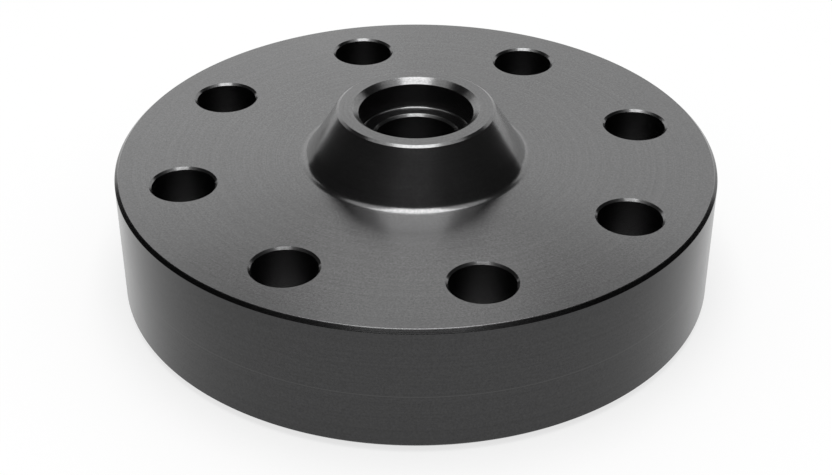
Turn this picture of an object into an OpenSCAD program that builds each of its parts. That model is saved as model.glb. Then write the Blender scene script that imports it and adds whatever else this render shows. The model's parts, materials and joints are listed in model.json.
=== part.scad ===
// Reducing flange: a thick forged disc with eight bolt holes and a conical hub,
// turned and drilled from one piece of steel. A smaller pipe sits in the socket
// in the hub, and the bore below it runs out through the raised mating face.
// The origin is the centre of the mating face, and +Z runs up the axis to the hub.

/* [Disc] */
// Outside diameter of the disc
disc_d = 270; // [254:1:330]
// Thickness of the disc between its two flat sides
disc_t = 58.5; // [40:0.5:80]
// Chamfer round the upper and the lower edge of the disc
disc_edge = 1.6; // [0.4:0.1:4]

/* [Bolt holes] */
// Number of bolt holes, which straddle the centre lines
hole_count = 8; // [4, 8, 12]
// Distance from the circle that the bolt holes stand on to the outside of the disc
bolt_rim_w = 29.5; // [20:0.5:38]
// Diameter of each bolt hole
hole_d = 28; // [16:0.5:34]
// Chamfer at both ends of each bolt hole
hole_edge = 1; // [0.2:0.1:2]

/* [Hub] */
// Height of the hub above the disc
hub_h = 24; // [16:0.5:50]
// Diameter of the flat face on top of the hub, measured to the cone
hub_top_d = 70; // [64:0.5:80]
// Diameter at which the cone would meet the disc without its fillet
hub_base_d = 100; // [86:0.5:120]
// Radius of the fillet between the cone and the disc
hub_fillet_r = 4.5; // [1:0.5:12]
// Break on the outer edge of the hub's top face
hub_edge = 0.8; // [0.2:0.1:1.5]

/* [Pipe socket] */
// Diameter of the socket that takes the end of the smaller pipe
socket_d = 51.2; // [44:0.1:54]
// Depth of the socket below the top of the hub
socket_depth = 14.2; // [8:0.1:30]
// Width of the bevel round the mouth of the socket
mouth_bevel_w = 2.9; // [0.5:0.1:4]
// Depth of the bevel round the mouth of the socket
mouth_bevel_h = 2.3; // [0.5:0.1:5]
// Radius in the corner between the wall and the floor of the socket
socket_corner_r = 1.2; // [0.4:0.1:3]

/* [Bore] */
// Diameter of the bore below the socket
bore_d = 37; // [20:0.5:40]
// Chamfer where the bore leaves the floor of the socket
bore_edge = 1.1; // [0.2:0.1:1.8]
// Chamfer where the bore leaves the mating face
bore_exit_edge = 1; // [0.2:0.1:3]

/* [Mating face] */
// Diameter of the raised face that seals against the other flange
raised_d = 138; // [100:1:155]
// Height of the raised face below the disc
raised_h = 2; // [0.5:0.1:7]

/* [Hidden] */

$fn = 128;

// Heights above the mating face
disc_low_z = raised_h;
disc_top_z = disc_low_z + disc_t;
hub_top_z = disc_top_z + hub_h;
socket_floor_z = hub_top_z - socket_depth;

// Radii, measured from the axis
disc_r = disc_d / 2;
bolt_circle_r = disc_r - bolt_rim_w;
raised_r = raised_d / 2;
hub_top_r = hub_top_d / 2;
hub_base_r = hub_base_d / 2;
socket_r = socket_d / 2;
bore_r = bore_d / 2;

// The cone leans in from its base to its top: its slope is measured from the disc
cone_slope = atan2(hub_h, hub_base_r - hub_top_r);

// The fillet touches the disc and the cone at the same distance from their corner
fillet_reach = hub_fillet_r * tan(cone_slope / 2);
fillet_r = hub_base_r + fillet_reach;

// Height on the cone at which the break of the top edge starts
hub_break_z = hub_top_z - hub_edge;
hub_break_r = hub_top_r + hub_edge / tan(cone_slope);

// Every cut runs this far past the surface that it opens
overrun = disc_edge;

// Outline of the turned blank to the right of its axis, with sharp inner corners
module blank_outline() {
    polygon([
        [bore_r + bore_exit_edge, 0],
        [raised_r, 0],
        [raised_r, disc_low_z],
        [disc_r - disc_edge, disc_low_z],
        [disc_r, disc_low_z + disc_edge],
        [disc_r, disc_top_z - disc_edge],
        [disc_r - disc_edge, disc_top_z],
        [hub_base_r, disc_top_z],
        [hub_break_r, hub_break_z],
        [hub_top_r - hub_edge, hub_top_z],
        [socket_r + mouth_bevel_w, hub_top_z],
        [socket_r, hub_top_z - mouth_bevel_h],
        [socket_r, socket_floor_z],
        [bore_r + bore_edge, socket_floor_z],
        [bore_r, socket_floor_z - bore_edge],
        [bore_r, bore_exit_edge]
    ]);
}

// Material in the corner between the cone and the disc, hollowed by a tangent circle
module hub_fillet_outline() {
    difference() {
        polygon([
            [fillet_r, disc_top_z - hub_fillet_r],
            [fillet_r, disc_top_z + hub_fillet_r],
            [fillet_r - hub_fillet_r * sin(cone_slope),
             disc_top_z + hub_fillet_r - hub_fillet_r * cos(cone_slope)],
            [hub_base_r - hub_fillet_r, disc_top_z - hub_fillet_r]
        ]);
        translate([fillet_r, disc_top_z + hub_fillet_r]) circle(r = hub_fillet_r);
    }
}

// Material in the corner between the wall and the floor of the socket
module socket_corner_outline() {
    difference() {
        translate([socket_r - socket_corner_r, socket_floor_z - socket_corner_r])
            square([2 * socket_corner_r, 2 * socket_corner_r]);
        translate([socket_r - socket_corner_r, socket_floor_z + socket_corner_r])
            circle(r = socket_corner_r);
    }
}

// The blank as it leaves the lathe
module turned_blank() {
    rotate_extrude() {
        blank_outline();
        hub_fillet_outline();
        socket_corner_outline();
    }
}

// One bolt hole with a chamfer at each end, standing on the axis. It starts below
// the mating face, so that it stays open where the raised face reaches over it
module bolt_hole() {
    hole_r = hole_d / 2;
    translate([0, 0, -overrun])
        cylinder(h = disc_top_z + 2 * overrun, r = hole_r);
    translate([0, 0, disc_low_z - overrun])
        cylinder(h = hole_edge + overrun, r1 = hole_r + hole_edge + overrun, r2 = hole_r);
    translate([0, 0, disc_top_z - hole_edge])
        cylinder(h = hole_edge + overrun, r1 = hole_r, r2 = hole_r + hole_edge + overrun);
}

module flange() {
    color([0.16, 0.16, 0.165])
        difference() {
            turned_blank();
            for (i = [0 : hole_count - 1])
                rotate((i + 1 / 2) * 360 / hole_count)
                    translate([bolt_circle_r, 0, 0])
                        bolt_hole();
        }
}

flange();
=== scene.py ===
"""A reducing flange of blackened steel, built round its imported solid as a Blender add-on."""

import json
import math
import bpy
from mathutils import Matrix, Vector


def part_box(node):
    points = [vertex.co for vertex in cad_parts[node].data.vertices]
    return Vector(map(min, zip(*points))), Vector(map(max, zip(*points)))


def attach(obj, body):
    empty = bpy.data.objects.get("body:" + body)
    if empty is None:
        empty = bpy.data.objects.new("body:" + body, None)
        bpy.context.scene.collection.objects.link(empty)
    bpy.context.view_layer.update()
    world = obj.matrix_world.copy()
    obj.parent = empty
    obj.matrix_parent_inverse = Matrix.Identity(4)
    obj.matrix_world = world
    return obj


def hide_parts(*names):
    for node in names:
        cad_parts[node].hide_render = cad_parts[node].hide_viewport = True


bl_info = {
    "name": "Reducing Flange",
    "version": (1, 0, 0),
    "blender": (4, 5, 0),
    "location": "View3D > Sidebar > Flange",
    "description": "Turns and drills a reducing flange and sets it on a pale studio floor",
    "category": "Add Mesh",
}

import bpy
from bpy.props import FloatProperty, FloatVectorProperty, IntProperty, PointerProperty
from mathutils import Vector

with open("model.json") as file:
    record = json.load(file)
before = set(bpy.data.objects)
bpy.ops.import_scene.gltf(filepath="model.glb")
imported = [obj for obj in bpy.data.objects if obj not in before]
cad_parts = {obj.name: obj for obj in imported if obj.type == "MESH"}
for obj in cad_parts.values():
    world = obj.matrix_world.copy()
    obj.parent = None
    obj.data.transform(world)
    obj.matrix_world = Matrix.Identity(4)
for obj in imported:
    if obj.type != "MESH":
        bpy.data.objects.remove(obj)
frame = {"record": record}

MM = 0.001

# Softboxes: width, length and distance from the flange in metres, then elevation and swing
# round the axis in radians, both measured from the camera's side
TOP_SOFTBOX = (0.9, 1.7, 1.7, math.radians(86.5), 0)
BACK_SOFTBOX = (1.6, 0.7, 2.0, math.radians(158), math.radians(25))
BACK_STRIP = (0.3, 0.55, 1.3, math.radians(131), 0)

# Dark cloth round the flange, in metres: its radius and height, and the window in it that
# shows the white room behind, which lies below the lintel and above the sloping hem. The
# hem's height is taken at the axis, and its slope rises towards the camera
CLOTH_R = 1.2
CLOTH_H = 1.85
LINTEL_H = 1.0
HEM_H = 1.68
HEM_SLOPE = 1.55
CLOTH_STEPS = 72

# Floor: its radius in metres, its steps, and how far it lies below the flange
FLOOR_R = 6
FLOOR_STEPS = 96
FLOOR_DROP = 0.2 * MM

# Camera: the sensor's width in millimetres, and its near and far limits in metres
SENSOR_W = 36
CLIP_NEAR = 0.01
CLIP_FAR = 50

# Steps along the hub's fillet, the socket's corner and a softened corner, and round a drill
FILLET_STEPS = 12
CORNER_STEPS = 6
SOFT_STEPS = 3
DRILL_STEPS = 96

# Share of a neighbouring side that a softened corner may take up
SOFT_SHARE = 0.3

# Points closer together than this become one
WELD = 0.001 * MM

# Edges that turn by more than this stay sharp in the shading
SMOOTH_ANGLE = math.radians(28)

# Ends of the noise values that a change of tone and a change of sheen are spread over
TONE_LOW = 0.25
TONE_HIGH = 0.75
CLOUD_LOW = 0.3
CLOUD_HIGH = 0.7

# How far the duller patches lie from the average roughness
CLOUD_SPREAD = 0.02

# Share of a hole's chamfer that is drawn round the hole's own axis
HOLE_RIM_SHARE = 0.99

# Shares of the disc's chamfer between which the painted shade of the outer wall, a darker tone, sets in
RIM_START_SHARE = 0.1
RIM_END_SHARE = 0.25

SOLID_LOW, SOLID_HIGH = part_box("flange")
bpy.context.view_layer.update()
MOUNTS = {mount["name"]: mount for mount in frame["record"]["mounts"]}


def size(name, default, description):
    """A length property, given in millimetres and kept in metres."""
    return FloatProperty(
        name=name, description=description, default=default * MM, unit="LENGTH", precision=5)


class FlangeSizes(bpy.types.PropertyGroup):
    """Sizes of the turned blank and its holes"""

    disc_d: FloatProperty(
        name="Disc diameter", description="Outside diameter of the disc",
        default=SOLID_HIGH.x - SOLID_LOW.x, unit="LENGTH")
    height: FloatProperty(
        name="Height", description="Height from the mating face to the top of the hub",
        default=SOLID_HIGH.z - SOLID_LOW.z, unit="LENGTH")
    disc_t: size("Disc thickness", 58.5, "Thickness between the disc's two flat sides")
    disc_edge: size("Disc chamfer", 1.6, "Chamfer round both edges of the disc")
    raised_d: size("Raised face", 138, "Diameter of the raised mating face")
    raised_h: size("Raised height", 2, "Height of the raised mating face")
    hub_top_d: size("Hub top", 70, "Diameter of the flat face on top of the hub")
    hub_base_d: size("Hub base", 100, "Diameter at which the cone would meet the disc")
    hub_fillet_r: size("Hub fillet", 4.5, "Radius between the cone and the disc")
    hub_edge: size("Hub edge", 0.8, "Break on the outer edge of the hub's top face")
    socket_depth: size("Socket depth", 14.2, "Depth of the pipe socket below the hub's top")
    mouth_bevel_w: size("Mouth bevel width", 2.9, "Width of the bevel round the socket's mouth")
    mouth_bevel_h: size("Mouth bevel depth", 2.3, "Depth of the bevel round the socket's mouth")
    socket_corner_r: size("Socket corner", 1.2, "Radius between the socket's wall and floor")
    bore_edge: size("Bore chamfer", 1.1, "Chamfer where the bore leaves the socket's floor")
    bore_exit_edge: size("Bore exit chamfer", 1, "Chamfer where the bore leaves the mating face")
    hole_edge: size("Hole chamfer", 1, "Chamfer at both ends of each bolt hole")
    soft_edge: size("Edge softness", 0.25, "Radius that deburring leaves on each sharp corner")
    segments: IntProperty(
        name="Segments", description="Steps round the axis of the turned blank",
        default=256, min=64, max=512)


class FlangeFinish(bpy.types.PropertyGroup):
    """Colour and sheen of the blackened steel, and the painted shade on its outer wall"""

    steel: FloatVectorProperty(
        name="Blackened steel", description="Colour of the blackened surface", subtype="COLOR",
        default=(0.175, 0.175, 0.176), min=0, max=1)
    # Painted shade: the outer wall gets a darker colour than the steel, standing in for the darker floor and
    # shadow that it would mirror, since the floor here mirrors white
    rim_painted_shade: FloatVectorProperty(
        name="Outer wall", description="Darker than the steel, to make up for the white floor that it mirrors",
        subtype="COLOR", default=(0.055, 0.055, 0.0555), min=0, max=1)
    roughness: FloatProperty(
        name="Roughness", description="Average roughness of the turned surface", default=0.22, min=0, max=1)
    grain: FloatProperty(
        name="Turning grain", description="How far the turned rings stretch a reflection across them",
        default=0.7, min=0, max=1)
    ring_pitch: size("Ring pitch", 0.45, "Distance from one ring of the turning tool to the next")
    ring_depth: size("Ring depth", 0.014, "Depth of the rings that the turning tool leaves")
    drift_pitch: size("Drift pitch", 1.1, "Distance over which the tool's depth drifts")
    drift_depth: size("Drift depth", 0.006, "How far the tool's depth drifts")
    ring_tone: FloatProperty(
        name="Ring tone", description="How far the oxide's tone varies from ring to ring",
        default=0.05, min=0, max=1)
    grit_pitch: size("Grit pitch", 0.9, "Distance between the specks of the oxide")
    grit_depth: size("Grit depth", 0.0015, "Height of the specks of the oxide")
    grit_tone: FloatProperty(
        name="Grit tone", description="How far the oxide's tone varies from speck to speck",
        default=0.15, min=0, max=1)
    cloud_pitch: size("Cloud pitch", 30, "Distance between the duller patches of the surface")
    line_z: size("Line height", 28.2, "Height of the line scribed round the outer wall")
    line_w: size("Line width", 0.4, "Distance over which the scribed line fades")
    line_colour: FloatVectorProperty(
        name="Scribed line", description="Colour of the scribed line", subtype="COLOR",
        default=(0.075, 0.075, 0.075), min=0, max=1)


class FlangeStudio(bpy.types.PropertyGroup):
    """Camera, floor and lights"""

    azimuth: FloatProperty(
        name="Camera azimuth", description="Angle of the camera round the axis", subtype="ANGLE",
        default=math.radians(7.86))
    camera_out: size("Camera distance", 630.2, "Distance of the camera from the axis")
    camera_up: size("Camera height", 367.2, "Height of the camera above the disc's top face")
    pitch: FloatProperty(
        name="Camera pitch", description="Angle by which the camera looks down", subtype="ANGLE",
        default=math.radians(33.22))
    lens: FloatProperty(name="Lens", description="Focal length in millimetres", default=69.66)
    floor: FloatVectorProperty(
        name="Floor", description="Colour of the floor", subtype="COLOR",
        default=(0.3, 0.3, 0.3), min=0, max=1)
    top_light: FloatProperty(
        name="Top light", description="Power of the softbox above the flange", default=18, min=0)
    back_light: FloatProperty(
        name="Back light", description="Power of the softbox behind the flange", default=0.7, min=0)
    strip_light: FloatProperty(
        name="Strip light", description="Power of the narrow softbox above the window", default=0.22, min=0)
    room_light: FloatProperty(
        name="Room light", description="Level of the light that comes from all round", default=0.5, min=0)
    cloth_shade: FloatProperty(
        name="Cloth shade", description="Grey of the dark cloth that the steel reflects",
        default=0.05, min=0)


def clear_selection():
    """Leaves nothing selected, so that the next operator acts on its own piece alone."""
    bpy.ops.object.select_all(action="DESELECT")


def pick_faces(piece, wanted):
    """Selects the faces of a piece that a test wants, and leaves the rest unselected."""
    bpy.ops.object.mode_set(mode="EDIT")
    bpy.ops.mesh.select_mode(type="FACE")
    bpy.ops.mesh.select_all(action="DESELECT")
    bpy.ops.object.mode_set(mode="OBJECT")
    for face in piece.data.polygons:
        face.select = wanted(face)


def arc(centre, radius, start, end, steps):
    """Points on an arc in the plane of radius and height, ends included, with angles in degrees."""
    points = []
    for step in range(steps + 1):
        angle = math.radians(start + (end - start) * step / steps)
        points.append((centre[0] + radius * math.cos(angle), centre[1] + radius * math.sin(angle)))
    return points


def softened(outline, radius):
    """Rounds the corners of an outline whose entries are (point, is_corner)."""
    soft = []
    count = len(outline)
    for index, (point, is_corner) in enumerate(outline):
        if not is_corner:
            soft.append(point)
            continue
        here = Vector(point)
        back = Vector(outline[index - 1][0]) - here
        ahead = Vector(outline[(index + 1) % count][0]) - here
        half_angle = back.angle(ahead) / 2
        reach = radius / math.tan(half_angle)
        reach = min(reach, SOFT_SHARE * back.length, SOFT_SHARE * ahead.length)
        true_radius = reach * math.tan(half_angle)
        inward = (back.normalized() + ahead.normalized()).normalized()
        centre = here + inward * true_radius / math.sin(half_angle)
        start = here + back.normalized() * reach - centre
        end = here + ahead.normalized() * reach - centre
        turn = start.angle_signed(end)
        for step in range(SOFT_STEPS + 1):
            angle = -turn * (step / SOFT_STEPS)
            rotated = Vector((start.x * math.cos(angle) - start.y * math.sin(angle),
                              start.x * math.sin(angle) + start.y * math.cos(angle)))
            soft.append(tuple(centre + rotated))
    return soft


def turned(name, outline, segments, closed):
    """Turns an outline of (radius, height) points ring by ring, as extruded and scaled circles."""
    clear_selection()
    fill = "NOTHING" if closed else "NGON"
    first_r, first_z = outline[0]
    bpy.ops.mesh.primitive_circle_add(
        vertices=segments, radius=first_r, fill_type=fill, location=(0, 0, first_z))
    piece = bpy.context.object
    piece.name = name
    piece.data.name = name
    bpy.ops.object.transform_apply(location=True, rotation=True, scale=True)
    bpy.ops.object.mode_set(mode="EDIT")
    bpy.ops.mesh.select_mode(type="EDGE")
    bpy.ops.mesh.select_all(action="SELECT")
    radius, height = first_r, first_z
    rings = outline[1:] + outline[:1] if closed else outline[1:]
    for ring_r, ring_z in rings:
        bpy.ops.mesh.extrude_edges_move(TRANSFORM_OT_translate={"value": (0, 0, ring_z - height)})
        scale = ring_r / radius
        bpy.ops.transform.resize(value=(scale, scale, 1), center_override=(0, 0, ring_z))
        radius, height = ring_r, ring_z
    if not closed:
        bpy.ops.mesh.edge_face_add()
    bpy.ops.mesh.select_all(action="SELECT")
    bpy.ops.mesh.remove_doubles(threshold=WELD)
    bpy.ops.mesh.normals_make_consistent(inside=False)
    bpy.ops.object.mode_set(mode="OBJECT")
    return piece


def flange_outline(s):
    """The turned blank's outline, counter-clockwise from the bore's way out."""
    top = s.raised_h + s.disc_t
    hub_top = s.height
    slope = math.atan2(hub_top - top, (s.hub_base_d - s.hub_top_d) / 2)
    reach = s.hub_fillet_r * math.tan(slope / 2)
    fillet_r = s.hub_base_d / 2 + reach
    socket_r = MOUNTS["pipe_socket"]["dims"]["r_mm"] * MM
    bore_r = MOUNTS["bore"]["dims"]["r_mm"] * MM
    socket_floor = hub_top - s.socket_depth
    fillet_centre = (fillet_r, top + s.hub_fillet_r)
    fillet = arc(fillet_centre, s.hub_fillet_r, -90, -90 - math.degrees(slope), FILLET_STEPS)
    corner_centre = (socket_r - s.socket_corner_r, socket_floor + s.socket_corner_r)
    corner = arc(corner_centre, s.socket_corner_r, 0, -90, CORNER_STEPS)
    outline = [
        ((bore_r + s.bore_exit_edge, 0), True),
        ((s.raised_d / 2, 0), True),
        ((s.raised_d / 2, s.raised_h), False),
        ((s.disc_d / 2 - s.disc_edge, s.raised_h), True),
        ((s.disc_d / 2, s.raised_h + s.disc_edge), True),
        ((s.disc_d / 2, top - s.disc_edge), True),
        ((s.disc_d / 2 - s.disc_edge, top), True),
        *[(point, False) for point in fillet],
        ((s.hub_top_d / 2 + s.hub_edge / math.tan(slope), hub_top - s.hub_edge), True),
        ((s.hub_top_d / 2 - s.hub_edge, hub_top), True),
        ((socket_r + s.mouth_bevel_w, hub_top), True),
        ((socket_r, hub_top - s.mouth_bevel_h), True),
        *[(point, False) for point in corner],
        ((bore_r + s.bore_edge, socket_floor), True),
        ((bore_r, socket_floor - s.bore_edge), True),
        ((bore_r, s.bore_exit_edge), True),
    ]
    return softened(outline, s.soft_edge)


def drill_outline(s, hole_r):
    """The drill's outline with a flare at each end for the hole's chamfers."""
    low, high = s.raised_h, s.raised_h + s.disc_t
    past = 2 * s.hole_edge
    return [
        (hole_r + past, low - past + s.hole_edge),
        (hole_r, low + s.hole_edge),
        (hole_r, high - s.hole_edge),
        (hole_r + past, high + past - s.hole_edge),
    ]


def new_material(name):
    """An empty node material with its nodes, links and Principled shader."""
    material = bpy.data.materials.new(name)
    material.use_nodes = True
    nodes = material.node_tree.nodes
    return material, nodes, material.node_tree.links, nodes["Principled BSDF"]


def math_node(nodes, links, operation, *inputs):
    """A Math node whose inputs are numbers or sockets."""
    node = nodes.new("ShaderNodeMath")
    node.operation = operation
    for index, value in enumerate(inputs):
        if isinstance(value, (int, float)):
            node.inputs[index].default_value = value
        else:
            links.new(value, node.inputs[index])
    return node.outputs[0]


def vector_node(nodes, links, operation, *inputs):
    """A Vector Math node whose inputs are vectors or sockets."""
    node = nodes.new("ShaderNodeVectorMath")
    node.operation = operation
    for index, value in enumerate(inputs):
        if isinstance(value, tuple):
            node.inputs[index].default_value = value
        else:
            links.new(value, node.inputs[index])
    return node


def noise_node(nodes, links, vector, pitch, detail):
    """Noise whose spots are about a pitch apart."""
    node = nodes.new("ShaderNodeTexNoise")
    node.inputs["Scale"].default_value = 1 / pitch
    node.inputs["Detail"].default_value = detail
    links.new(vector, node.inputs["Vector"])
    return node.outputs["Fac"]


def map_node(nodes, links, value, low, high, to_low, to_high, smooth=False):
    """Maps a value from one range to another and stops at its ends."""
    node = nodes.new("ShaderNodeMapRange")
    if smooth:
        node.interpolation_type = "SMOOTHSTEP"
    for name, number in (("From Min", low), ("From Max", high), ("To Min", to_low), ("To Max", to_high)):
        node.inputs[name].default_value = number
    links.new(value, node.inputs["Value"])
    return node.outputs["Result"]


def colour_mix(nodes, links, factor, first, second, blend="MIX"):
    """Mixes two colours, each given as numbers or as a socket."""
    node = nodes.new("ShaderNodeMix")
    node.data_type = "RGBA"
    node.blend_type = blend
    if isinstance(factor, (int, float)):
        node.inputs[0].default_value = factor
    else:
        links.new(factor, node.inputs[0])
    for socket, colour in ((node.inputs[6], first), (node.inputs[7], second)):
        if isinstance(colour, tuple):
            socket.default_value = colour
        else:
            links.new(colour, socket)
    return node.outputs[2]


def bump_node(nodes, links, height, depth, below=None):
    """Bump of a depth, laid over the bump below it."""
    node = nodes.new("ShaderNodeBump")
    node.inputs["Strength"].default_value = 1
    node.inputs["Distance"].default_value = depth
    links.new(height, node.inputs["Height"])
    if below:
        links.new(below, node.inputs["Normal"])
    return node.outputs["Normal"]


def seen_rays(nodes, links):
    """A Light Path node, and a value of 1 for the rays that may see the white background."""
    path = nodes.new("ShaderNodeLightPath")
    camera, glossy = path.outputs["Is Camera Ray"], path.outputs["Is Glossy Ray"]
    seen = math_node(nodes, links, "MAXIMUM", camera, glossy)
    return path, math_node(nodes, links, "MAXIMUM", seen, path.outputs["Is Transmission Ray"])


def from_ring_centre(nodes, links, s, split, flat):
    """Offset from the flange's axis, or in a bolt hole from the hole's own axis."""
    bolts = MOUNTS["bolt_holes"]["dims"]
    step = 2 * math.pi / bolts["count"]
    turn = math_node(nodes, links, "ARCTAN2", split.outputs["Y"], split.outputs["X"])
    sector = math_node(nodes, links, "FLOOR", math_node(nodes, links, "DIVIDE", turn, step))
    turn = math_node(nodes, links, "MULTIPLY", math_node(nodes, links, "ADD", sector, 0.5), step)
    hole = nodes.new("ShaderNodeCombineXYZ")
    for axis, operation in (("X", "COSINE"), ("Y", "SINE")):
        along = math_node(nodes, links, operation, turn)
        along = math_node(nodes, links, "MULTIPLY", along, bolts["pcd_mm"] / 2 * MM)
        links.new(along, hole.inputs[axis])
    from_hole = vector_node(nodes, links, "DISTANCE", flat.outputs[0], hole.outputs[0]).outputs["Value"]
    drilled_r = bolts["hole_r_mm"] * MM + HOLE_RIM_SHARE * s.hole_edge
    drilled = math_node(nodes, links, "LESS_THAN", from_hole, drilled_r)
    centre = vector_node(nodes, links, "SCALE", hole.outputs[0])
    links.new(drilled, centre.inputs["Scale"])
    return vector_node(nodes, links, "SUBTRACT", flat.outputs[0], centre.outputs[0]).outputs[0]


def across_rings(nodes, links, out):
    """Direction across the rings, along which a reflection is stretched."""
    around = vector_node(nodes, links, "CROSS_PRODUCT", (0, 0, 1), out)
    normal = nodes.new("ShaderNodeNewGeometry").outputs["Normal"]
    across = vector_node(nodes, links, "CROSS_PRODUCT", normal, around.outputs[0])
    return vector_node(nodes, links, "NORMALIZE", across.outputs[0]).outputs[0]


def steel_material(s, finish):
    """Blackened steel with the rings of the turning tool, drawn by radius and height, and painted shade on its
    outer wall.
    """
    material, nodes, links, shader = new_material("blackened_steel")
    coords = nodes.new("ShaderNodeTexCoord").outputs["Object"]
    split = nodes.new("ShaderNodeSeparateXYZ")
    links.new(coords, split.inputs[0])
    flat = nodes.new("ShaderNodeCombineXYZ")
    links.new(split.outputs["X"], flat.inputs["X"])
    links.new(split.outputs["Y"], flat.inputs["Y"])
    from_axis = vector_node(nodes, links, "LENGTH", flat.outputs[0]).outputs["Value"]
    out = from_ring_centre(nodes, links, s, split, flat)
    from_centre = vector_node(nodes, links, "LENGTH", out).outputs["Value"]
    tangent = across_rings(nodes, links, out)

    # Rings of the tool, which are its feed and the slower drift of its depth, and the specks
    profile = nodes.new("ShaderNodeCombineXYZ")
    links.new(from_centre, profile.inputs["X"])
    links.new(split.outputs["Z"], profile.inputs["Y"])
    feed = noise_node(nodes, links, profile.outputs[0], finish.ring_pitch, detail=2)
    drift = noise_node(nodes, links, profile.outputs[0], finish.drift_pitch, detail=1)
    grit = noise_node(nodes, links, coords, finish.grit_pitch, detail=2)

    # Outer wall, which carries the painted shade, and the line scribed round it
    off_line = math_node(nodes, links, "SUBTRACT", split.outputs["Z"], finish.line_z)
    off_line = math_node(nodes, links, "ABSOLUTE", off_line)
    line = map_node(nodes, links, off_line, 0, finish.line_w, 1, 0, smooth=True)
    rim_r = s.disc_d / 2 - s.disc_edge
    rim_start = rim_r + RIM_START_SHARE * s.disc_edge
    rim_end = rim_r + RIM_END_SHARE * s.disc_edge
    line_and_painted_shade_wall = map_node(nodes, links, from_axis, rim_start, rim_end, 0, 1)
    line = math_node(nodes, links, "MULTIPLY", line, line_and_painted_shade_wall)

    # Painted shade and oxide: a darker tone painted on the outer wall in place of the darker reflection it
    # would show, and small changes of the oxide's tone everywhere
    painted_shade_and_oxide = colour_mix(nodes, links, line_and_painted_shade_wall, (*finish.steel, 1), (*finish.rim_painted_shade, 1))
    spreads = ((feed, finish.ring_tone), (drift, finish.ring_tone), (grit, finish.grit_tone))
    for value, spread in spreads:
        tone = map_node(nodes, links, value, TONE_LOW, TONE_HIGH, 1 - spread, 1 + spread)
        painted_shade_and_oxide = colour_mix(nodes, links, 1, painted_shade_and_oxide, tone, blend="MULTIPLY")
    painted_shade_and_oxide = colour_mix(nodes, links, line, painted_shade_and_oxide, (*finish.line_colour, 1))
    cloud = noise_node(nodes, links, coords, finish.cloud_pitch, detail=3)
    rough_low, rough_high = finish.roughness - CLOUD_SPREAD, finish.roughness + CLOUD_SPREAD
    rough = map_node(nodes, links, cloud, CLOUD_LOW, CLOUD_HIGH, rough_low, rough_high)

    bumps = bump_node(nodes, links, feed, finish.ring_depth)
    bumps = bump_node(nodes, links, drift, finish.drift_depth, bumps)
    bumps = bump_node(nodes, links, grit, finish.grit_depth, bumps)

    links.new(painted_shade_and_oxide, shader.inputs["Base Color"])
    links.new(rough, shader.inputs["Roughness"])
    links.new(bumps, shader.inputs["Normal"])
    links.new(tangent, shader.inputs["Tangent"])
    shader.inputs["Metallic"].default_value = 1
    shader.inputs["Anisotropic"].default_value = finish.grain
    return material


def floor_material(colour):
    """Pale floor that reads as white, keeps the shadow and can be looked through from below."""
    material, nodes, links, shader = new_material("pale_floor")
    nodes.remove(shader)
    diffuse = nodes.new("ShaderNodeBsdfDiffuse")
    diffuse.inputs["Color"].default_value = (*colour, 1)
    glow = nodes.new("ShaderNodeEmission")
    path, seen = seen_rays(nodes, links)
    lift = math_node(nodes, links, "MULTIPLY", seen, 1 - colour[0])
    links.new(lift, glow.inputs["Strength"])
    both = nodes.new("ShaderNodeAddShader")
    links.new(diffuse.outputs[0], both.inputs[0])
    links.new(glow.outputs[0], both.inputs[1])
    clear = nodes.new("ShaderNodeBsdfTransparent")
    mix = nodes.new("ShaderNodeMixShader")
    below = nodes.new("ShaderNodeNewGeometry").outputs["Backfacing"]
    hidden = math_node(nodes, links, "MULTIPLY", below, path.outputs["Is Camera Ray"])
    links.new(hidden, mix.inputs[0])
    links.new(both.outputs[0], mix.inputs[1])
    links.new(clear.outputs[0], mix.inputs[2])
    links.new(mix.outputs[0], nodes["Material Output"].inputs["Surface"])
    return material


def bolt_drills(context):
    """One piece of all the drills, each standing on the axis of its bolt hole."""
    bolts = MOUNTS["bolt_holes"]["dims"]
    outline = drill_outline(context.scene.flange_sizes, bolts["hole_r_mm"] * MM)
    out = bolts["pcd_mm"] / 2 * MM
    drills = []
    for index in range(bolts["count"]):
        drill = turned(f"drill_{index}", outline, DRILL_STEPS, closed=False)
        angle = (index + 0.5) * 2 * math.pi / bolts["count"]
        drill.location = (out * math.cos(angle), out * math.sin(angle), 0)
        drills.append(drill)
    clear_selection()
    for drill in drills:
        drill.select_set(True)
    context.view_layer.objects.active = drills[0]
    bpy.ops.object.join()
    return context.object


def cut_away(context, body, cutter):
    """Cuts one piece out of another and removes the cutter."""
    clear_selection()
    body.select_set(True)
    context.view_layer.objects.active = body
    bpy.ops.object.modifier_add(type="BOOLEAN")
    cut = body.modifiers[-1]
    cut.operation = "DIFFERENCE"
    cut.solver = "EXACT"
    cut.object = cutter
    bpy.ops.object.modifier_apply(modifier=cut.name)
    bpy.data.objects.remove(cutter)


class FLANGE_OT_body(bpy.types.Operator):
    """Turn the flange from a blank, drill its bolt holes and blacken it"""

    bl_idname = "flange.body"
    bl_label = "Flange body"

    def execute(self, context):
        s = context.scene.flange_sizes
        body = turned("flange_body", flange_outline(s), s.segments, closed=True)
        cut_away(context, body, bolt_drills(context))
        bpy.ops.object.shade_smooth_by_angle(angle=SMOOTH_ANGLE)
        bpy.ops.object.modifier_add(type="WEIGHTED_NORMAL")
        weighted = body.modifiers[-1]
        weighted.keep_sharp = True
        bpy.ops.object.modifier_apply(modifier=weighted.name)
        body.data.materials.clear()
        body.data.materials.append(steel_material(s, context.scene.flange_finish))
        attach(body, "root")
        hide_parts("flange")
        return {"FINISHED"}


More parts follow.
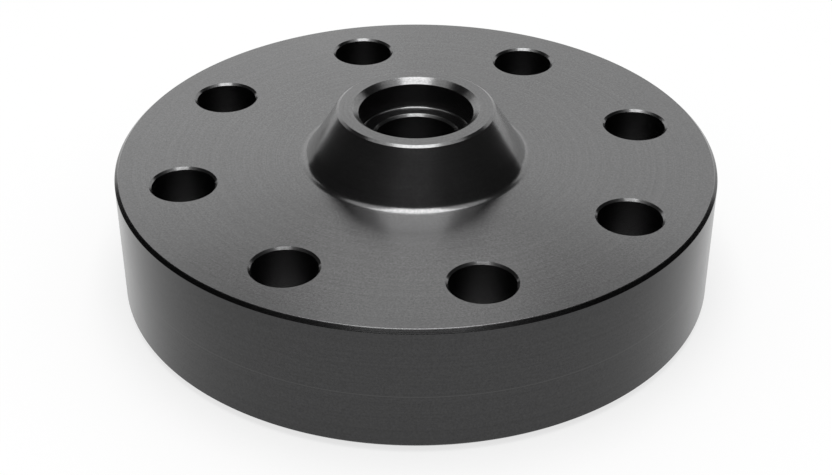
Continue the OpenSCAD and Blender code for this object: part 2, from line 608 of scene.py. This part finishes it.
class FLANGE_OT_stage(bpy.types.Operator):
    """Set up the floor, the lights and the camera"""

    bl_idname = "flange.stage"
    bl_label = "Studio"

    def execute(self, context):
        s = context.scene.flange_sizes
        studio = context.scene.flange_studio
        clear_selection()
        bpy.ops.mesh.primitive_circle_add(
            vertices=FLOOR_STEPS, radius=FLOOR_R, fill_type="NGON", location=(0, 0, -FLOOR_DROP))
        floor = context.object
        floor.name = "floor"
        floor.data.materials.append(floor_material(studio.floor))

        self.softbox(studio, "top_softbox", studio.top_light, *TOP_SOFTBOX)
        self.softbox(studio, "back_softbox", studio.back_light, *BACK_SOFTBOX)
        self.softbox(studio, "back_strip", studio.strip_light, *BACK_STRIP)
        self.world(context, studio)
        self.cloth(studio)

        top = s.raised_h + s.disc_t
        turn = studio.azimuth
        side, front = math.sin(turn) * studio.camera_out, -math.cos(turn) * studio.camera_out
        spot = (side, front, top + studio.camera_up)
        bpy.ops.object.camera_add(location=spot, rotation=(math.pi / 2 - studio.pitch, 0, turn))
        camera = context.object
        camera.name = "camera"
        camera.data.lens = studio.lens
        camera.data.sensor_width = SENSOR_W
        camera.data.clip_start = CLIP_NEAR
        camera.data.clip_end = CLIP_FAR
        context.scene.camera = camera
        context.scene.view_settings.view_transform = "Standard"
        return {"FINISHED"}

    def softbox(self, studio, name, power, width, length, distance, elevation, swing):
        """Hangs a softbox that faces the flange, at an elevation measured from the camera's side."""
        out = distance * math.cos(elevation)
        turn = studio.azimuth + swing
        place = (out * math.sin(turn), -out * math.cos(turn), distance * math.sin(elevation))
        bpy.ops.object.light_add(
            type="AREA", location=place, rotation=(math.pi / 2 - elevation, 0, turn))
        lamp = bpy.context.object
        lamp.name = name
        lamp.data.shape = "RECTANGLE"
        lamp.data.size = width
        lamp.data.size_y = length
        lamp.data.energy = power
        lamp.visible_camera = False

    def world(self, context, studio):
        """Fills the room with plain light, and shows it white to the camera and to the steel."""
        world = bpy.data.worlds.new("studio_room")
        context.scene.world = world
        world.use_nodes = True
        nodes, links = world.node_tree.nodes, world.node_tree.links
        _, seen = seen_rays(nodes, links)
        gap = math_node(nodes, links, "MULTIPLY", seen, 1 - studio.room_light)
        level = math_node(nodes, links, "ADD", gap, studio.room_light)
        background = nodes["Background"]
        background.inputs["Color"].default_value = (1, 1, 1, 1)
        links.new(level, background.inputs["Strength"])

    def cloth(self, studio):
        """Hangs the dark cloth with its window, which only reflections show."""
        material, *_, shader = new_material("dark_cloth")
        shade = studio.cloth_shade
        shader.inputs["Base Color"].default_value = (shade, shade, shade, 1)
        shader.inputs["Roughness"].default_value = 1
        shader.inputs["Specular IOR Level"].default_value = 0
        clear_selection()
        bpy.ops.mesh.primitive_cylinder_add(
            vertices=CLOTH_STEPS, radius=CLOTH_R, depth=CLOTH_H, end_fill_type="NOTHING",
            location=(0, 0, CLOTH_H / 2))
        cloth = bpy.context.object
        cloth.name = "dark_cloth"
        bpy.ops.object.transform_apply(location=True, rotation=True, scale=True)
        camera_side = Vector((math.sin(studio.azimuth), -math.cos(studio.azimuth), 0))
        bpy.ops.object.mode_set(mode="EDIT")
        bpy.ops.mesh.select_all(action="SELECT")
        bpy.ops.mesh.bisect(plane_co=(0, 0, LINTEL_H), plane_no=(0, 0, 1))
        bpy.ops.mesh.select_all(action="SELECT")
        hem = Vector((0, 0, HEM_H))
        across_hem = Vector((0, 0, 1)) - HEM_SLOPE * camera_side
        bpy.ops.mesh.bisect(plane_co=hem, plane_no=across_hem)
        bpy.ops.object.mode_set(mode="OBJECT")
        pick_faces(cloth, lambda face: face.center.z < LINTEL_H and (face.center - hem).dot(across_hem) > 0)
        bpy.ops.object.mode_set(mode="EDIT")
        bpy.ops.mesh.delete(type="FACE")
        bpy.ops.object.mode_set(mode="OBJECT")
        cloth.data.materials.append(material)
        cloth.visible_camera = False
        cloth.visible_diffuse = False
        cloth.visible_shadow = False


class FLANGE_PT_panel(bpy.types.Panel):
    """The flange's tools in the 3D view's sidebar"""

    bl_idname = "FLANGE_PT_panel"
    bl_label = "Reducing flange"
    bl_space_type = "VIEW_3D"
    bl_region_type = "UI"
    bl_category = "Flange"

    def draw(self, context):
        for group in ("flange_sizes", "flange_finish", "flange_studio"):
            settings = getattr(context.scene, group)
            box = self.layout.box()
            for name in settings.__annotations__:
                box.prop(settings, name)
        for operator in (FLANGE_OT_body, FLANGE_OT_stage):
            self.layout.operator(operator.bl_idname)


CLASSES = (FlangeSizes, FlangeFinish, FlangeStudio, FLANGE_OT_body, FLANGE_OT_stage, FLANGE_PT_panel)


def register():
    """Adds the settings, the operators and the panel."""
    for cls in CLASSES:
        bpy.utils.register_class(cls)
    bpy.types.Scene.flange_sizes = PointerProperty(type=FlangeSizes)
    bpy.types.Scene.flange_finish = PointerProperty(type=FlangeFinish)
    bpy.types.Scene.flange_studio = PointerProperty(type=FlangeStudio)


def unregister():
    """Takes them away again, in reverse order."""
    del bpy.types.Scene.flange_studio
    del bpy.types.Scene.flange_finish
    del bpy.types.Scene.flange_sizes
    for cls in reversed(CLASSES):
        bpy.utils.unregister_class(cls)


def main():
    """Builds the flange and the studio."""
    register()
    bpy.ops.flange.body()
    bpy.ops.flange.stage()


if __name__ == "__main__":
    main()
